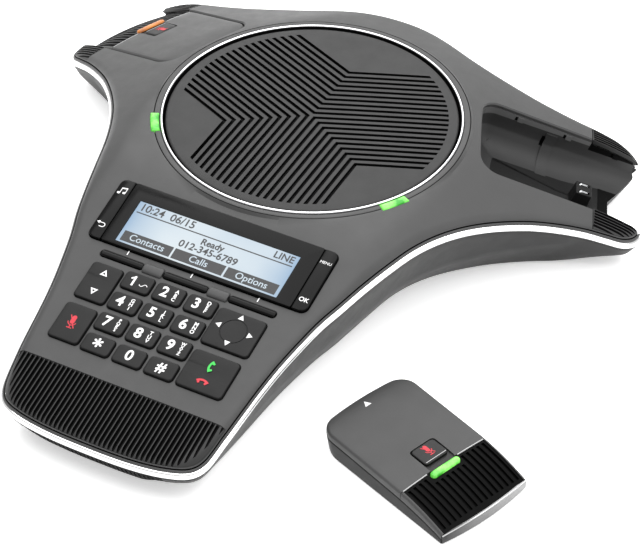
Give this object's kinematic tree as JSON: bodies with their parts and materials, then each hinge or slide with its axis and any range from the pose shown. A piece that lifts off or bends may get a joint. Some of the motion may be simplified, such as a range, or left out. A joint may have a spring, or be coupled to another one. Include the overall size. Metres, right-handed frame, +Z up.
{
  "type": "conference speakerphone",
  "caption": "Tabletop conference speakerphone with a round speaker grille, a sloping keypad and display wing, and two side wings that dock wireless microphone pods.",
  "frame": {"origin": "on the table under the centre of the round speaker, on the speaker axis", "axes": "+Z up, keypad wing along -Y, microphone wings 23.5 degrees above +X and -X"},
  "size_m": [0.3439, 0.3237, 0.061],
  "materials": {
    "shell": "fine satin texture",
    "lower_shell": "satin",
    "black_ribs": "semi gloss ribs",
    "black_plastic": "satin",
    "key_plastic": "fine satin texture",
    "silver": "bright satin",
    "chrome_ring": "polished",
    "speaker_metal": "satin paint",
    "cloth": "acoustic cloth",
    "cone_paper": "pressed pulp cone",
    "steel": "plated",
    "gloss_black": "high gloss",
    "lcd": "backlit display",
    "green_light": "lit diffuser",
    "amber_light": "lit diffuser",
    "board": "solder mask",
    "rubber": "matte"
  },
  "bodies": {
    "base": {"top_housing": "shell", "bottom_housing": "lower_shell", "front_nose_grille": "black_ribs", "silver_band_front": "silver", "silver_band_back": "silver", "speaker_ring": "chrome_ring", "speaker_grille": "speaker_metal", "grille_cloth": "cloth", "driver_frame": "steel", "status_light_right": "green_light", "status_light_left": "green_light", "display_bezel": "gloss_black", "lcd_module": "lcd", "keypad_mat": "rubber", "main_board": "board", "front_mic_grille": "black_ribs", "dock_tray_right": "black_plastic", "dock_tray_left": "black_plastic", "charge_contacts_right": "steel", "charge_contacts_left": "steel", "rear_connectors": "black_plastic", "foot_right": "rubber", "foot_back": "rubber", "foot_left": "rubber", "foot_front": "rubber"},
    "key_one": {"key_one": "key_plastic"},
    "key_two": {"key_two": "key_plastic"},
    "key_three": {"key_three": "key_plastic"},
    "key_four": {"key_four": "key_plastic"},
    "key_five": {"key_five": "key_plastic"},
    "key_six": {"key_six": "key_plastic"},
    "key_seven": {"key_seven": "key_plastic"},
    "key_eight": {"key_eight": "key_plastic"},
    "key_nine": {"key_nine": "key_plastic"},
    "key_star": {"key_star": "key_plastic"},
    "key_zero": {"key_zero": "key_plastic"},
    "key_hash": {"key_hash": "key_plastic"},
    "volume_rocker": {"volume_rocker": "key_plastic"},
    "mute_key": {"mute_key": "key_plastic"},
    "navigation_pad": {"navigation_pad": "key_plastic"},
    "talk_end_rocker": {"talk_end_rocker": "key_plastic"},
    "softkey_left": {"softkey_left": "black_plastic"},
    "softkey_middle": {"softkey_middle": "black_plastic"},
    "softkey_right": {"softkey_right": "black_plastic"},
    "menu_ok_rocker": {"menu_ok_rocker": "gloss_black"},
    "tune_back_rocker": {"tune_back_rocker": "gloss_black"},
    "speaker_cone": {"driver_cone": "cone_paper"},
    "pod_docked": {"pod_docked_cover": "shell", "pod_docked_mic_grille": "black_ribs", "pod_docked_base": "lower_shell", "pod_docked_light_bar": "amber_light", "pod_docked_end_trim": "silver"},
    "pod_docked_button": {"pod_docked_mute_button": "black_plastic"},
    "pod_free": {"pod_free_cover": "shell", "pod_free_mic_grille": "black_ribs", "pod_free_base": "lower_shell", "pod_free_light_bar": "green_light", "pod_free_end_trim": "silver"},
    "pod_free_button": {"pod_free_mute_button": "black_plastic"}
  },
  "joints": [
    {"name": "key_one_press", "type": "slide", "parent": "base", "child": "key_one", "axis": [0, 0.2425, -0.9701], "range_m": [0, 0.0012], "stiffness_N_per_m": 250},
    {"name": "key_two_press", "type": "slide", "parent": "base", "child": "key_two", "axis": [0, 0.2425, -0.9701], "range_m": [0, 0.0012], "stiffness_N_per_m": 250},
    {"name": "key_three_press", "type": "slide", "parent": "base", "child": "key_three", "axis": [0, 0.2425, -0.9701], "range_m": [0, 0.0012], "stiffness_N_per_m": 250},
    {"name": "key_four_press", "type": "slide", "parent": "base", "child": "key_four", "axis": [0, 0.2425, -0.9701], "range_m": [0, 0.0012], "stiffness_N_per_m": 250},
    {"name": "key_five_press", "type": "slide", "parent": "base", "child": "key_five", "axis": [0, 0.2425, -0.9701], "range_m": [0, 0.0012], "stiffness_N_per_m": 250},
    {"name": "key_six_press", "type": "slide", "parent": "base", "child": "key_six", "axis": [0, 0.2425, -0.9701], "range_m": [0, 0.0012], "stiffness_N_per_m": 250},
    {"name": "key_seven_press", "type": "slide", "parent": "base", "child": "key_seven", "axis": [0, 0.2425, -0.9701], "range_m": [0, 0.0012], "stiffness_N_per_m": 250},
    {"name": "key_eight_press", "type": "slide", "parent": "base", "child": "key_eight", "axis": [0, 0.2425, -0.9701], "range_m": [0, 0.0012], "stiffness_N_per_m": 250},
    {"name": "key_nine_press", "type": "slide", "parent": "base", "child": "key_nine", "axis": [0, 0.2425, -0.9701], "range_m": [0, 0.0012], "stiffness_N_per_m": 250},
    {"name": "key_star_press", "type": "slide", "parent": "base", "child": "key_star", "axis": [0, 0.2425, -0.9701], "range_m": [0, 0.0012], "stiffness_N_per_m": 250},
    {"name": "key_zero_press", "type": "slide", "parent": "base", "child": "key_zero", "axis": [0, 0.2425, -0.9701], "range_m": [0, 0.0012], "stiffness_N_per_m": 250},
    {"name": "key_hash_press", "type": "slide", "parent": "base", "child": "key_hash", "axis": [0, 0.2425, -0.9701], "range_m": [0, 0.0012], "stiffness_N_per_m": 250},
    {"name": "volume_rocker_tilt", "type": "hinge", "parent": "base", "child": "volume_rocker", "pos_m": [-0.0387, -0.14172, 0.04154], "axis": [1, 0, 0], "range_deg": [-2.5, 2.5], "stiffness_Nm_per_rad": 0.05},
    {"name": "mute_key_press", "type": "slide", "parent": "base", "child": "mute_key", "axis": [0, 0.2425, -0.9701], "range_m": [0, 0.0012], "stiffness_N_per_m": 250},
    {"name": "navigation_pad_tilt", "type": "hinge", "parent": "base", "child": "navigation_pad", "pos_m": [0.0343, -0.14172, 0.04154], "axis": [1, 0, 0], "range_deg": [-2.5, 2.5], "stiffness_Nm_per_rad": 0.05},
    {"name": "talk_end_rocker_tilt", "type": "hinge", "parent": "base", "child": "talk_end_rocker", "pos_m": [0.0342, -0.16601, 0.03546], "axis": [1, 0, 0], "range_deg": [-2.5, 2.5], "stiffness_Nm_per_rad": 0.05},
    {"name": "softkey_left_press", "type": "slide", "parent": "base", "child": "softkey_left", "axis": [0, 0.2425, -0.9701], "range_m": [0, 0.001], "stiffness_N_per_m": 250},
    {"name": "softkey_middle_press", "type": "slide", "parent": "base", "child": "softkey_middle", "axis": [0, 0.2425, -0.9701], "range_m": [0, 0.001], "stiffness_N_per_m": 250},
    {"name": "softkey_right_press", "type": "slide", "parent": "base", "child": "softkey_right", "axis": [0, 0.2425, -0.9701], "range_m": [0, 0.001], "stiffness_N_per_m": 250},
    {"name": "menu_ok_rocker_tilt", "type": "hinge", "parent": "base", "child": "menu_ok_rocker", "pos_m": [0.0563, -0.10211, 0.05144], "axis": [1, 0, 0], "range_deg": [-1.2, 1.2], "stiffness_Nm_per_rad": 0.05},
    {"name": "tune_back_rocker_tilt", "type": "hinge", "parent": "base", "child": "tune_back_rocker", "pos_m": [-0.0547, -0.10211, 0.05144], "axis": [1, 0, 0], "range_deg": [-1.2, 1.2], "stiffness_Nm_per_rad": 0.05},
    {"name": "speaker_cone_stroke", "type": "slide", "parent": "base", "child": "speaker_cone", "axis": [0, 0, 1], "range_m": [-0.0005, 0.0005], "stiffness_N_per_m": 2000},
    {"name": "pod_docked_lift", "type": "slide", "parent": "base", "child": "pod_docked", "axis": [-0.3152, 0.137, 0.9391], "range_m": [0, 0.06]},
    {"name": "pod_docked_mute_press", "type": "slide", "parent": "pod_docked", "child": "pod_docked_button", "axis": [0.3152, -0.137, -0.9391], "range_m": [0, 0.001], "stiffness_N_per_m": 250},
    {"name": "pod_free_lift", "type": "slide", "parent": "base", "child": "pod_free", "axis": [0, 0, 1], "range_m": [0, 0.1]},
    {"name": "pod_free_mute_press", "type": "slide", "parent": "pod_free", "child": "pod_free_button", "axis": [0, 0, -1], "range_m": [0, 0.001], "stiffness_N_per_m": 250}
  ]
}
